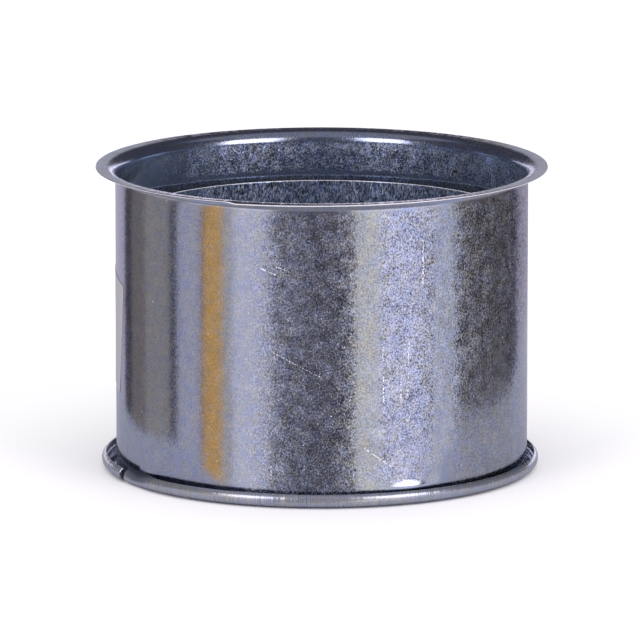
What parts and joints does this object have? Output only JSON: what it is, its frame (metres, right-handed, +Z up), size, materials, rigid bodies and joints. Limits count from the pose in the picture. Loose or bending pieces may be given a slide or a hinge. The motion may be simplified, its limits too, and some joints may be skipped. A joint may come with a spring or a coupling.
{
  "type": "wall thimble",
  "caption": "Round wall thimble of galvanised sheet: an outer sleeve with a flared rim slides over an inner sleeve with a rolled gutter rim, to line a flue pipe's way through a wall.",
  "frame": {"origin": "on the axis of the sleeves, in the face of the gutter rim that the thimble stands on", "axes": "+Z up along the axis, from the gutter rim to the flared rim; the picture looks along +Y, +X to its right"},
  "size_m": [0.1842, 0.1842, 0.1238],
  "materials": {
    "galvanised_sheet": "hot-dip galvanised with a fine spangle, semi-bright"
  },
  "bodies": {
    "inner": {"inner_sleeve": "galvanised_sheet"},
    "outer": {"outer_sleeve": "galvanised_sheet"}
  },
  "joints": [
    {"name": "sleeve_slide", "type": "slide", "parent": "inner", "child": "outer", "axis": [0, 0, 1], "range_m": [0, 0.0794]}
  ]
}
